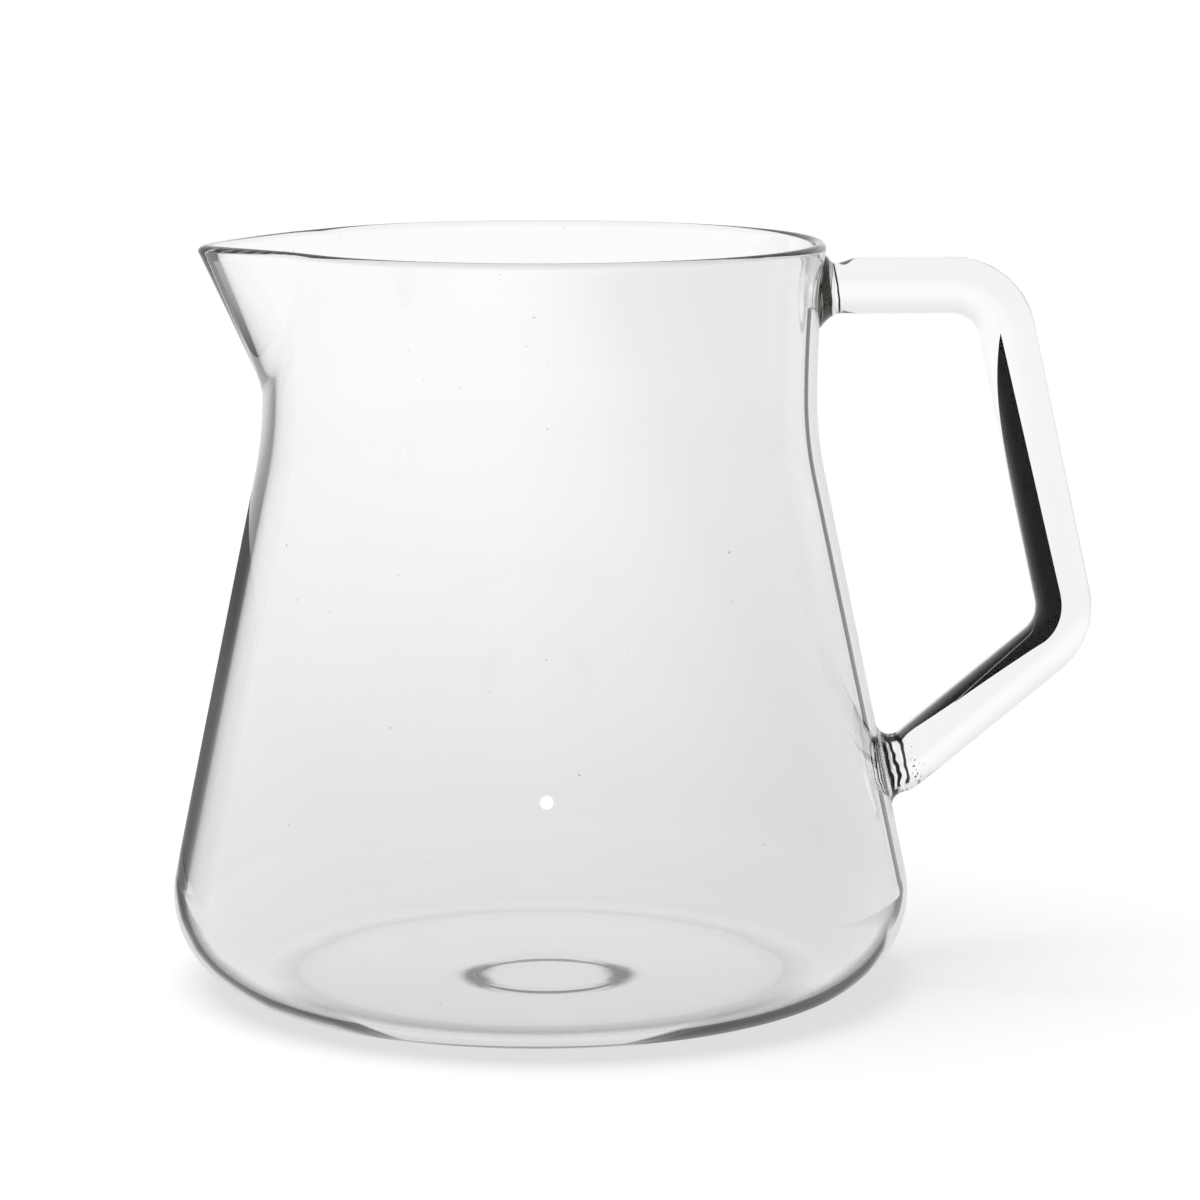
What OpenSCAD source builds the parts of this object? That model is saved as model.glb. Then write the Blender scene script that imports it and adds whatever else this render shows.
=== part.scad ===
// Glass coffee server: a blown vessel with a pulled spout, and a bent rod handle welded to its wall.
// The table is at Z zero and the vessel's axis is the Z axis.
// The handle points along +X, the spout along -X, and the fill dot faces -Y.

/* [Body] */
// Outer diameter of the body at its widest
body_d = 105; // [94:1:120]
// Height of the rim above the table
body_h = 105.9; // [100:0.1:116]
// Thickness of the blown wall
wall_t = 1.8; // [1.2:0.1:2.6]
// Thickness of the glass across the base
base_t = 1.5; // [1.2:0.1:3]
// Outer radius of the rounded heel
heel_r = 13.2; // [9:0.2:18]

/* [Neck] */
// Outer diameter of the neck at its narrowest
neck_d = 78.2; // [70:0.2:79.8]
// Height of the neck at its narrowest
neck_z = 84.3; // [78:0.1:88]
// Radius of the hollow curve between the body wall and the neck
neck_curve_r = 54; // [40:1:66]
// Outer diameter of the rim
rim_d = 80.6; // [80:0.2:86]

/* [Spout] */
// Reach of the spout tip from the vessel's axis
spout_reach = 48.3; // [45:0.1:54]
// Height of the spout from its root to the rim
spout_h = 20.4; // [14:0.2:24]
// Half the height of the bend at the root of the spout
spout_bend = 1.7; // [1:0.1:3]
// Thickness of the glass at the tip, where the wall was drawn out and folded
tip_wall_t = 2.5; // [1.2:0.1:3]
// Drop of the tip below the rim
tip_drop = 0.5; // [0:0.1:1.5]
// Depth of the shallow hollows in the rim on both sides of the spout
flank_hollow = 0.5; // [0:0.1:1]

/* [Foot] */
// Width of the flat ring that the vessel stands on
ring_w = 4.4; // [2:0.2:8]
// Rise of the hollow under the base
hollow_h = 0.4; // [0.4:0.1:2]
// Diameter of the round mark under the base, where the blown glass was closed
mark_d = 21; // [14:0.5:30]
// Width of the ridge round that mark
mark_w = 2.4; // [1:0.1:4]
// Height of that ridge
mark_h = 0.3; // [0.1:0.05:0.35]
// Offset of the mark from the vessel's axis, towards the handle
mark_x = 0.9; // [0:0.1:3]
// Offset of the mark from the vessel's axis, towards the fill dot
mark_y = 5.5; // [0:0.1:7]

/* [Handle] */
// Diameter of the glass rod
rod_d = 8; // [6:0.5:9]
// Radius of the rod's bends along its centre line
bend_r = 8; // [6:0.5:10]
// Depth of the upper arm's centre line below the rim
arm_drop = 6.4; // [5.8:0.1:8]
// Reach of the upper corner from the vessel's axis
corner_x = 64.6; // [60:0.2:70]
// Reach of the lower corner from the vessel's axis
elbow_x = 75.5; // [70:0.5:84]
// Height of the lower corner above the table
elbow_z = 50.5; // [46:0.5:56]
// Rise of the lower arm from level, in degrees
arm_rise = 39.5; // [34:0.5:44]

/* [Welds] */
// Depth of the upper weld, from the wall to the rod's end
upper_weld_t = 3.2; // [2:0.1:4.5]
// Spread of the upper weld's foot above the rod
upper_weld_above = 0.8; // [0.2:0.1:1.2]
// Spread of the upper weld's foot below the rod
upper_weld_below = 2.9; // [1:0.1:4]
// Spread of the upper weld's foot to each side
upper_weld_side = 1.6; // [0.6:0.1:3]
// Depth of the lower weld, from the wall to the rod's end
lower_weld_t = 2.7; // [2:0.1:4.5]
// Spread of the lower weld's foot above the rod
lower_weld_above = 6.4; // [3:0.1:8]
// Spread of the lower weld's foot below the rod
lower_weld_below = 1.6; // [0.6:0.1:3]
// Spread of the lower weld's foot to each side
lower_weld_side = 2.2; // [0.6:0.1:3.5]

/* [Fill dot] */
// Diameter of the enamel dot
dot_d = 1.8; // [1:0.1:4]
// Height of the dot above the table
dot_z = 35.4; // [24:0.2:60]
// Thickness of the enamel
dot_t = 0.08; // [0.04:0.01:0.2]

/* [Hidden] */
$fn = 96;
// Sides of the form that the welds and the dot are cut to
form_sides = 360;
// Steps along the heel, along the neck's curve, across the base and up the lip
heel_steps = 9;
neck_steps = 5;
floor_steps = 3;
ridge_steps = 4;
lip_steps = 8;
// Angle between the points round the rim's rounded edge
edge_step = 30;
// Angles between the sections round the vessel, and the sector at the spout where they lie closer
coarse_step = 5;
fine_step = 2.5;
spout_sector = 30;
// Angle over which the tip is rounded, and the place and spread of the hollows beside the spout
tip_round = 4;
hollow_angle = 34;
hollow_spread = 10;
// Points round a weld, rings along it, and how quickly its foot spreads towards the wall
weld_points = 48;
weld_rings = 7;
weld_hollow = 2.2;

body_r = body_d / 2;
neck_r = neck_d / 2;
rim_r = rim_d / 2;
rod_r = rod_d / 2;
// How far cuts run past what they cut
overrun = wall_t / 2;
// The straight runs reach a little way into the bends, and are set in by twice the bends' sag there
run_lap = rod_d / 20;
run_inset = run_lap * run_lap / bend_r;

// The straight wall touches the heel's circle from outside and the neck's from inside
heel_x = body_r - heel_r;
neck_cx = neck_r + neck_curve_r;
centre_gap = norm([neck_cx - heel_x, neck_z - heel_r]);
centre_angle = atan2(neck_z - heel_r, neck_cx - heel_x);
wall_lean = centre_angle - acos((heel_r + neck_curve_r) / centre_gap);
wall_dist = heel_x * cos(wall_lean) + heel_r * sin(wall_lean) + heel_r;

// The inner heel keeps the wall's thickness above and the base's thickness below
heel_in_r = heel_r - wall_t;
heel_in_z = base_t + heel_in_r;
heel_in_x = (wall_dist - wall_t - heel_in_r - heel_in_z * sin(wall_lean)) / cos(wall_lean);
ring_in_r = heel_x - ring_w;

// The spout leaves the neck here, and the lip that it was drawn from begins just below
root_z = body_h - spout_h;
lip_z = root_z - spout_bend;
spout_slope = (spout_reach - neck_r) / spout_h;
lip_top = body_h - wall_t / 2;

arm_z = body_h - arm_drop;
grip_lean = atan2(elbow_x - corner_x, arm_z - elbow_z);
corner_turn = 90 - grip_lean;
elbow_turn = 180 - arm_rise - corner_turn;
corner_cut = bend_r * tan(corner_turn / 2);
elbow_cut = bend_r * tan(elbow_turn / 2);
grip_len = norm([elbow_x - corner_x, arm_z - elbow_z]) - corner_cut - elbow_cut;
// Length of the lower arm's centre line from the lower corner to the wall
low_arm_len = (elbow_x * cos(wall_lean) + elbow_z * sin(wall_lean) - wall_dist) / cos(arm_rise - wall_lean);
foot_x = elbow_x - low_arm_len * cos(arm_rise);
foot_z = elbow_z - low_arm_len * sin(arm_rise);

// Outer radius of the neck and rim at a height, and the radius of the same wall inside
function neck_arc(z, r) = neck_cx - sqrt(r * r - (neck_z - z) * (neck_z - z));
function flare(z) = neck_r + (rim_r - neck_r) * pow((z - neck_z) / (body_h - neck_z), 2);
function side_r(z) = z < neck_z ? neck_arc(z, neck_curve_r) : flare(z);
function side_in_r(z) = z < neck_z ? neck_arc(z, neck_curve_r + wall_t) : flare(z) - wall_t;

// Height of the hollow under the base at a radius, and of the ridge that hangs from it
function hollow(r) = hollow_h * (1 - pow(r / ring_in_r, 2));
function ridge(r) = abs(r - mark_d / 2) < mark_w / 2
    ? mark_h * pow(cos(180 * (r - mark_d / 2) / mark_w), 2) : 0;
// Share of the mark's offset that the glass across the base has at a radius; the wall above has none
function drift(r, z) = z > base_t + hollow_h ? 0 : max(0, 1 - pow(r / ring_in_r, 2));
function steps(a, b, n) = [for (i = [0:n]) a + (b - a) * i / n];
function reversed(points) = [for (i = [len(points) - 1:-1:0]) points[i]];
function arc(cx, cz, r, a, b) = [for (t = steps(a, b, heel_steps)) [cx + r * cos(t), cz + r * sin(t)]];

mark_in = mark_d / 2 - mark_w / 2;
mark_out = mark_d / 2 + mark_w / 2;
under_radii = concat([for (i = [1:floor_steps - 1]) mark_in * i / floor_steps],
    steps(mark_in, mark_out, ridge_steps),
    [for (i = [1:floor_steps]) mark_out + (ring_in_r - mark_out) * i / floor_steps]);
under_points = [for (r = under_radii) [r, hollow(r) - ridge(r)]];
floor_points = [for (i = [1:floor_steps]) let (r = ring_in_r * i / floor_steps) [r, base_t + hollow(r)]];

// The outside and the inside of the wall, from the base to the given height
bend_z = neck_z - neck_curve_r * sin(wall_lean);
bend_in_z = neck_z - (neck_curve_r + wall_t) * sin(wall_lean);
function outer_side(top) = concat(arc(heel_x, heel_r, heel_r, -90, wall_lean),
    [for (z = steps(bend_z, top, neck_steps)) [side_r(z), z]]);
function inner_side(top) = concat(arc(heel_in_x, heel_in_z, heel_in_r, -90, wall_lean),
    [for (z = steps(bend_in_z, top, neck_steps)) [side_in_r(z), z]]);

// How far the spout has come out of the neck at a height, and its reach from the axis
function eased(rise) = rise < -spout_bend ? 0
    : rise > spout_bend ? rise
    : pow(rise + spout_bend, 2) / (4 * spout_bend);
function reach(z) = neck_r + eased(z - root_z) * spout_slope;
function risen(z) = max(0, (z - root_z) / spout_h);
function rounded(a) = sqrt(a * a + tip_round * tip_round) - tip_round;
// From above, two straight flanks run from the neck's circle to the tip
function plan_r(a, r, far) = r / cos(max(0, acos(r / max(r, far)) - rounded(a)));
function hollow_at(a, z) = flank_hollow * risen(z) * exp(-pow((abs(a) - hollow_angle) / hollow_spread, 2));
function lip_r(a, z) = plan_r(a, side_r(z), reach(z)) - hollow_at(a, z);
function drawn(a, z) = max(0, (lip_r(a, z) - side_r(z)) / (spout_reach - rim_r));
// How much thinner the wall is where it was drawn out, below zero where it folded and grew thicker
function thinned(a, z) = (wall_t - tip_wall_t) * drawn(a, z);
function lip_in_r(a, z) = lip_r(a, z) * (side_in_r(z) + thinned(a, z)) / side_r(z);
function lip_point(a, z, across, over) =
    let (out = lip_r(a, z), in = lip_in_r(a, z))
    [(out + in) / 2 + across * (out - in) / 2, z + over * wall_t / 2 - tip_drop * risen(z) * drawn(a, z)];

// The glass cut through on one side of the axis, at an angle from the spout, as points of radius and height
lip_heights = steps(lip_z, lip_top, lip_steps);
function section(a) = concat(under_points, outer_side(lip_z),
    [for (i = [1:lip_steps]) lip_point(a, lip_heights[i], 1, 0)],
    [for (t = [edge_step:edge_step:180 - edge_step]) lip_point(a, lip_top, cos(t), sin(t))],
    [for (i = [lip_steps:-1:1]) lip_point(a, lip_heights[i], -1, 0)],
    reversed(inner_side(lip_z)), reversed(floor_points));
section_angles = concat([for (a = [-180:coarse_step:-spout_sector - coarse_step]) a],
    [for (a = [-spout_sector:fine_step:spout_sector]) a],
    [for (a = [spout_sector + coarse_step:coarse_step:180 - coarse_step]) a]);

// Faces of a grid of points that closes on itself from one row's end to its start
function quad(a, b, c, d) = [[a, b, c], [a, c, d]];
function grid_faces(rows, cols) = [for (i = [0:rows - 2], j = [0:cols - 1])
    let (next = (j + 1) % cols)
    for (f = quad(i * cols + j, i * cols + next, (i + 1) * cols + next, (i + 1) * cols + j)) f];

// The vessel's outside as one closed form, swollen by the given amount
module outer_form(swell) {
    side = outer_side(body_h);
    rotate_extrude($fn = form_sides)
        polygon(concat([[0, 0]], [for (p = side) [p[0] + swell, p[1]]], [[0, body_h]]));
}

// One skin of glass: its sections stand round the axis, and two points close it in the middle of the base
module vessel() {
    sections = [for (a = section_angles) section(a)];
    rows = len(sections[0]);
    cols = len(section_angles);
    points = [for (i = [0:rows - 1], j = [0:cols - 1])
        let (p = sections[j][i], a = section_angles[j], off = drift(p[0], p[1]))
        [mark_x * off - p[0] * cos(a), p[0] * sin(a) - mark_y * off, p[1]]];
    under = rows * cols;
    last = (rows - 1) * cols;
    caps = [for (j = [0:cols - 1]) let (next = (j + 1) % cols)
        each [[under, next, j], [under + 1, last + j, last + next]]];
    color([0.86, 0.9, 0.91])
    polyhedron(concat(points, [[mark_x, -mark_y, hollow_h], [mark_x, -mark_y, base_t + hollow_h]]),
        concat(grid_faces(rows, cols), caps), convexity = 10);
}

// A straight length of rod along X, and then what follows at its end
module straight(length) {
    translate([-run_lap, 0, 0]) rotate([0, 90, 0])
        cylinder(r = rod_r - run_inset, h = length + 2 * run_lap);
    translate([length, 0, 0]) children();
}

// A bend towards -Z, and then what follows at its end
module bend(angle) {
    translate([0, 0, -bend_r]) {
        rotate([-90, 0, 0]) rotate([0, 0, -90]) rotate_extrude(angle = angle)
            translate([bend_r, 0]) circle(d = rod_d);
        rotate([0, angle, 0]) translate([0, 0, bend_r]) children();
    }
}

// The plane that the lower weld and the rod's lower end share, and all that lies behind it
module behind_lower_weld() {
    side = rod_d * 4;
    translate([foot_x, 0, foot_z]) rotate([0, -wall_lean, 0])
        translate([lower_weld_t - side, -side / 2, -side / 2]) cube(side);
}

module handle_rod() {
    start_x = side_r(arm_z) + upper_weld_t + run_lap;
    color([0.93, 0.95, 0.95])
    difference() {
        translate([start_x, 0, arm_z]) straight(corner_x - start_x - corner_cut)
            bend(corner_turn) straight(grip_len)
            bend(elbow_turn) straight(low_arm_len - elbow_cut);
        behind_lower_weld();
    }
}

// A flared pad of melted glass on a wall that stands square to X at the origin.
// The rod leaves it at the given lean from X, and the foot spreads up, down and to both sides.
module weld_pad(depth, lean, above, below, side) {
    function spread(t) = pow(1 - max(0, t), weld_hollow);
    function pad_point(t, a) =
        let (x = max(0, t) * depth, grow = spread(t), up = sin(a) > 0 ? above : below)
        [t < 0 ? -2 * overrun : x, -(rod_r + side * grow) * cos(a),
            x * tan(lean) + (rod_r / cos(lean) + up * grow) * sin(a)];
    places = concat([-1], steps(0, 1, weld_rings - 1));
    angles = [for (i = [0:weld_points - 1]) 360 * i / weld_points];
    last = len(places) * weld_points;
    faces = concat(grid_faces(len(places), weld_points),
        [[for (i = [weld_points - 1:-1:0]) i]],
        [[for (i = [0:weld_points - 1]) last - weld_points + i]]);
    polyhedron([for (t = places, a = angles) pad_point(t, a)], faces, convexity = 4);
}

module upper_weld() {
    color([0.8, 0.86, 0.84])
    difference() {
        translate([side_r(arm_z), 0, arm_z])
            weld_pad(upper_weld_t, 0, upper_weld_above, upper_weld_below, upper_weld_side);
        outer_form(0);
    }
}

module lower_weld() {
    color([0.8, 0.86, 0.84])
    difference() {
        translate([foot_x, 0, foot_z]) rotate([0, -wall_lean, 0])
            weld_pad(lower_weld_t, arm_rise - wall_lean,
                lower_weld_above, lower_weld_below, lower_weld_side);
        outer_form(0);
    }
}

// A disc of enamel that follows the curve of the wall
module fill_dot() {
    color("white")
    difference() {
        intersection() {
            translate([0, 0, dot_z]) rotate([90, 0, 0]) cylinder(d = dot_d, h = body_d);
            outer_form(dot_t);
        }
        outer_form(0);
    }
}

vessel();
handle_rod();
upper_weld();
lower_weld();
fill_dot();
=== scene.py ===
# %% [markdown]
# # A glass coffee server
#
# This lesson dresses a glass server for filter coffee: a blown vessel with a pulled spout,
# and a bent glass rod for a handle, welded to the wall at both ends.
# Clear glass has no look of its own. What the eye reads is what the glass bends and mirrors,
# so half of the work here is the small studio round the object.
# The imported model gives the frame, and everything here is in metres in that same frame.

import math

import bmesh
import bpy
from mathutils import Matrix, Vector


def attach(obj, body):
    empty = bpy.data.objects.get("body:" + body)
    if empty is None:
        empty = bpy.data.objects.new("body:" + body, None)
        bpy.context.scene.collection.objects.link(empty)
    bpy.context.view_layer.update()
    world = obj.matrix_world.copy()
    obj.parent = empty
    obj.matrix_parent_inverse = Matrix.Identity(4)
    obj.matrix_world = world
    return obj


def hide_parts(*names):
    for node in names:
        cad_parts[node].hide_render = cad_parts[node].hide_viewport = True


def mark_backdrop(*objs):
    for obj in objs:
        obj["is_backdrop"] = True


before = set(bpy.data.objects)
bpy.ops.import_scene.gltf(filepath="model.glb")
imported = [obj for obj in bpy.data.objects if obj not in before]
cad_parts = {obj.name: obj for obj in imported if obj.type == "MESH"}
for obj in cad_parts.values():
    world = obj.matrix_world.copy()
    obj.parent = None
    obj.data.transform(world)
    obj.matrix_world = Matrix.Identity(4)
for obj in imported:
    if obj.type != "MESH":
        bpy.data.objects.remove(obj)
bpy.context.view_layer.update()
scene = bpy.context.scene
MM = 0.001
print("nodes:", sorted(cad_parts))

# %% [markdown]
# ## The sizes of the glass
#
# The server is about 105 mm across its widest and 106 mm high, and its wall is 1.8 mm thick.
# The values are the driving sizes of the CAD model, in metres, so that each piece of glass
# lies where its solid lies.

# %% Driving sizes
BODY_D, BODY_H = 105 * MM, 105.9 * MM
WALL_T, BASE_T, HEEL_R = 1.8 * MM, 1.5 * MM, 13.2 * MM
NECK_D, NECK_Z, NECK_CURVE_R, RIM_D = 78.2 * MM, 84.3 * MM, 54 * MM, 80.6 * MM
SPOUT_REACH, SPOUT_H, SPOUT_BEND = 48.3 * MM, 20.4 * MM, 1.7 * MM
TIP_WALL_T, TIP_DROP, FLANK_HOLLOW = 2.5 * MM, 0.5 * MM, 0.5 * MM
TIP_ROUND, HOLLOW_ANGLE, HOLLOW_SPREAD = (math.radians(v) for v in (4, 34, 10))
RING_W, HOLLOW_H = 4.4 * MM, 0.4 * MM
MARK_D, MARK_W, MARK_H = 21 * MM, 2.4 * MM, 0.3 * MM
MARK_X, MARK_Y = 0.9 * MM, 5.5 * MM
ROD_D, BEND_R, ARM_DROP = 8 * MM, 8 * MM, 6.4 * MM
CORNER_X, ELBOW_X, ELBOW_Z = 64.6 * MM, 75.5 * MM, 50.5 * MM
ARM_RISE = math.radians(39.5)
UPPER_WELD = {"depth": 3.2 * MM, "above": 0.8 * MM, "below": 2.9 * MM, "side": 1.6 * MM}
LOWER_WELD = {"depth": 2.7 * MM, "above": 6.4 * MM, "below": 1.6 * MM, "side": 2.2 * MM}
WELD_HOLLOW = 2.2

body_r, neck_r, rim_r, rod_r = BODY_D / 2, NECK_D / 2, RIM_D / 2, ROD_D / 2

# %% [markdown]
# ## The profile of the vessel
#
# A blown vessel is a surface of revolution: one profile turned round the axis.
# From the outside it is a round heel, a straight wall that leans in, a hollow curve into the
# neck, and a slight flare to the rim. The straight wall touches both circles, so its lean is
# worked out rather than typed.

# %% Where the arcs of the profile meet
heel_x = body_r - HEEL_R
neck_cx = neck_r + NECK_CURVE_R
centre_gap = math.hypot(neck_cx - heel_x, NECK_Z - HEEL_R)
centre_angle = math.atan2(NECK_Z - HEEL_R, neck_cx - heel_x)
wall_lean = centre_angle - math.acos((HEEL_R + NECK_CURVE_R) / centre_gap)
wall_dist = heel_x * math.cos(wall_lean) + HEEL_R * math.sin(wall_lean) + HEEL_R
heel_in_r = HEEL_R - WALL_T
heel_in_z = BASE_T + heel_in_r
heel_in_x = (wall_dist - WALL_T - heel_in_r - heel_in_z * math.sin(wall_lean)) / math.cos(wall_lean)
ring_in_r = heel_x - RING_W
root_z = BODY_H - SPOUT_H
lip_z = root_z - SPOUT_BEND
lip_top = BODY_H - WALL_T / 2
bend_z = NECK_Z - NECK_CURVE_R * math.sin(wall_lean)
bend_in_z = NECK_Z - (NECK_CURVE_R + WALL_T) * math.sin(wall_lean)
print("the wall leans in by", round(math.degrees(wall_lean), 2), "degrees")


# %% Radius of the wall at a height
def neck_arc(z, r):
    return neck_cx - math.sqrt(r * r - (NECK_Z - z) ** 2)


def flare(z):
    return neck_r + (rim_r - neck_r) * ((z - NECK_Z) / (BODY_H - NECK_Z)) ** 2


def side_r(z):
    return neck_arc(z, NECK_CURVE_R) if z < NECK_Z else flare(z)


def side_in_r(z):
    return neck_arc(z, NECK_CURVE_R + WALL_T) if z < NECK_Z else flare(z) - WALL_T


def outer_r(z):
    """Radius of the outside at any height above the heel."""
    if z < bend_z:
        return (wall_dist - z * math.sin(wall_lean)) / math.cos(wall_lean)
    return side_r(z)


def hollow(r):
    return HOLLOW_H * (1 - (r / ring_in_r) ** 2)


def ridge(r):
    away = (r - MARK_D / 2) / MARK_W
    return MARK_H * math.cos(math.pi * away) ** 2 if abs(away) < 0.5 else 0.0


# %% The profile, point by point
def steps(a, b, n):
    return [a + (b - a) * i / n for i in range(n + 1)]


def arc(cx, cz, r, a, b, n):
    return [(cx + r * math.cos(t), cz + r * math.sin(t)) for t in steps(a, b, n)]


HEEL_STEPS, WALL_STEPS, NECK_STEPS, LIP_STEPS, RIM_STEPS, BASE_STEPS = 30, 6, 18, 26, 28, 10
quarter = math.radians(90)


def plain(points):
    """Points below the lip: they turn round the axis and nothing else."""
    return [{"outer": r, "inner": r, "across": 0.0, "over": 0.0, "height": z} for r, z in points]


def lip(z, across, over=0.0):
    """A point of the lip knows both skins of the wall, because the spout draws them out together."""
    return {"outer": side_r(z), "inner": side_in_r(z), "across": across, "over": over, "height": z}


def wall_points(start, end):
    return [tuple(a + (b - a) * t for a, b in zip(start, end)) for t in steps(0, 1, WALL_STEPS)[1:-1]]


mark_in, mark_out = (MARK_D - MARK_W) / 2, (MARK_D + MARK_W) / 2
under_radii = (steps(0, mark_in, BASE_STEPS)[:-1] + steps(mark_in, mark_out, BASE_STEPS)
    + steps(mark_out, ring_in_r, BASE_STEPS)[1:])
heel = arc(heel_x, HEEL_R, HEEL_R, -quarter, wall_lean, HEEL_STEPS)
heel_in = arc(heel_in_x, heel_in_z, heel_in_r, -quarter, wall_lean, HEEL_STEPS)
neck = [(side_r(z), z) for z in steps(bend_z, lip_z, NECK_STEPS)]
neck_in = [(side_in_r(z), z) for z in steps(bend_in_z, lip_z, NECK_STEPS)]
lip_heights = steps(lip_z, lip_top, LIP_STEPS)[1:]
profile = (plain([(r, hollow(r) - ridge(r)) for r in under_radii])
    + plain(heel + wall_points(heel[-1], neck[0]) + neck)
    + [lip(z, 1.0) for z in lip_heights]
    + [lip(lip_top, math.cos(t), math.sin(t)) for t in steps(0, math.pi, RIM_STEPS)[1:-1]]
    + [lip(z, -1.0) for z in reversed(lip_heights)]
    + plain(reversed(heel_in + wall_points(heel_in[-1], neck_in[0]) + neck_in))
    + plain([(r, BASE_T + hollow(r)) for r in reversed(steps(0, ring_in_r, BASE_STEPS))]))
print("points in the profile:", len(profile))

# %% [markdown]
# ## Formulas in a node tree
#
# Geometry Nodes can turn a profile round an axis and draw the spout out of the neck, because
# both follow a rule. A rule is easier to read as a formula than as forty boxes, so this small
# class writes the Math nodes for us: two fields added together make an Add node, and so on.


# %% A field that writes its own Math nodes
class Field:
    """A value that varies over the mesh: a socket of a node tree that arithmetic goes on with."""

    def __init__(self, tree, socket):
        self.tree, self.socket = tree, socket

    def math(self, operation, *others):
        node = self.tree.nodes.new("ShaderNodeMath")
        node.operation = operation
        for slot, value in zip(node.inputs, (self, *others)):
            feed(self.tree, slot, value)
        return Field(self.tree, node.outputs[0])

    def __add__(self, other):
        return self.math("ADD", other)

    def __sub__(self, other):
        return self.math("SUBTRACT", other)

    def __mul__(self, other):
        return self.math("MULTIPLY", other)

    def __truediv__(self, other):
        return self.math("DIVIDE", other)

    def squared(self):
        return self * self


def feed(tree, slot, value):
    """Gives an input either a link or a plain value."""
    if isinstance(value, Field):
        tree.links.new(value.socket, slot)
    else:
        slot.default_value = value


# %% [markdown]
# ## The vessel
#
# The tree makes a grid with one row for each point of the profile and one column for each
# direction round the axis. Each point of the grid looks up its place in the profile, and
# then the spout's rule moves it: seen from above, two straight flanks run from the neck's
# circle to the tip, the wall gets thinner where it was drawn out, and a shallow hollow lies
# on both sides. Turning the profile with a Spin would give the round part alone.

# %% The spout's rule, as fields
def spout_rule(tree, size, around, point):
    """Radius and height of a point of the profile at the angle around from the spout."""
    outer, inner = point["outer"], point["inner"]
    height, across, over = point["height"], point["across"], point["over"]
    root = size["Height"] - size["Spout height"]
    lifted = height.math("GREATER_THAN", lip_z)
    rise = height - root
    bend = size["Spout bend"]
    bent = (rise + bend).math("MAXIMUM", 0.0).math("MINIMUM", bend * 2.0)
    eased = bent.squared() / (bend * 4.0) + (rise - bend).math("MAXIMUM", 0.0)
    slope = (size["Spout reach"] - size["Neck radius"]) / size["Spout height"]
    reach = (size["Neck radius"] + eased * slope) * lifted
    rounded = (around.squared() + size["Tip rounding"].squared()).math("SQRT") - size["Tip rounding"]
    turn = ((outer / outer.math("MAXIMUM", reach)).math("ARCCOSINE") - rounded).math("MAXIMUM", 0.0)
    risen = (rise / size["Spout height"]).math("MAXIMUM", 0.0)
    beside = ((around.math("ABSOLUTE") - size["Hollow angle"]) / size["Hollow spread"]).squared()
    dent = (beside * -1.0).math("EXPONENT") * risen * size["Hollow depth"]
    skin = outer / turn.math("COSINE") - dent
    drawn = ((skin - outer) / (size["Spout reach"] - size["Rim radius"])).math("MAXIMUM", 0.0)
    thinned = (size["Wall"] - size["Tip wall"]) * drawn
    skin_in = skin * (inner + thinned) / outer
    radius = (skin + skin_in) / 2.0 + across * (skin - skin_in) / 2.0
    level = height + over * size["Wall"] / 2.0 - size["Tip drop"] * risen * drawn
    return radius, level


# %% The tree that turns the profile
VESSEL_SIZES = {
    "Height": BODY_H, "Wall": WALL_T, "Neck radius": neck_r, "Rim radius": rim_r,
    "Spout reach": SPOUT_REACH, "Spout height": SPOUT_H, "Spout bend": SPOUT_BEND,
    "Tip wall": TIP_WALL_T, "Tip drop": TIP_DROP, "Tip rounding": TIP_ROUND,
    "Hollow depth": FLANK_HOLLOW, "Hollow angle": HOLLOW_ANGLE, "Hollow spread": HOLLOW_SPREAD,
    "Ring radius": ring_in_r, "Mark X": MARK_X, "Mark Y": MARK_Y,
}
COLUMNS = 380
# Above 1, the columns lie closer together at the spout than at the handle
CROWDING = 1.3
# Keeps a row number from being rounded down to the row before
ROW_NUDGE = 0.0001
# Points closer than this become one point
SAME_POINT = 0.002 * MM
POINT_VALUES = ("outer", "inner", "across", "over", "height")


def new_tree(name, sizes):
    """A Geometry Nodes tree with the named inputs, each one a field."""
    tree = bpy.data.node_groups.new(name, "GeometryNodeTree")
    face = tree.interface
    face.new_socket("Geometry", in_out="INPUT", socket_type="NodeSocketGeometry")
    face.new_socket("Geometry", in_out="OUTPUT", socket_type="NodeSocketGeometry")
    for title, value in sizes.items():
        socket = face.new_socket(title, in_out="INPUT", socket_type="NodeSocketFloat")
        socket.default_value = value
    face.new_socket("Material", in_out="INPUT", socket_type="NodeSocketMaterial")
    entry = tree.nodes.new("NodeGroupInput")
    size = {title: Field(tree, entry.outputs[title]) for title in sizes}
    return tree, entry, size


def finish_tree(tree, entry, geometry):
    """Closes the tree: plain faces in place of instances, smooth shading, and the material."""
    realize = tree.nodes.new("GeometryNodeRealizeInstances")
    smooth = tree.nodes.new("GeometryNodeSetShadeSmooth")
    paint = tree.nodes.new("GeometryNodeSetMaterial")
    out = tree.nodes.new("NodeGroupOutput")
    tree.links.new(geometry, realize.inputs[0])
    tree.links.new(realize.outputs[0], smooth.inputs["Geometry"])
    tree.links.new(smooth.outputs[0], paint.inputs["Geometry"])
    tree.links.new(entry.outputs["Material"], paint.inputs["Material"])
    tree.links.new(paint.outputs[0], out.inputs[0])


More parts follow.
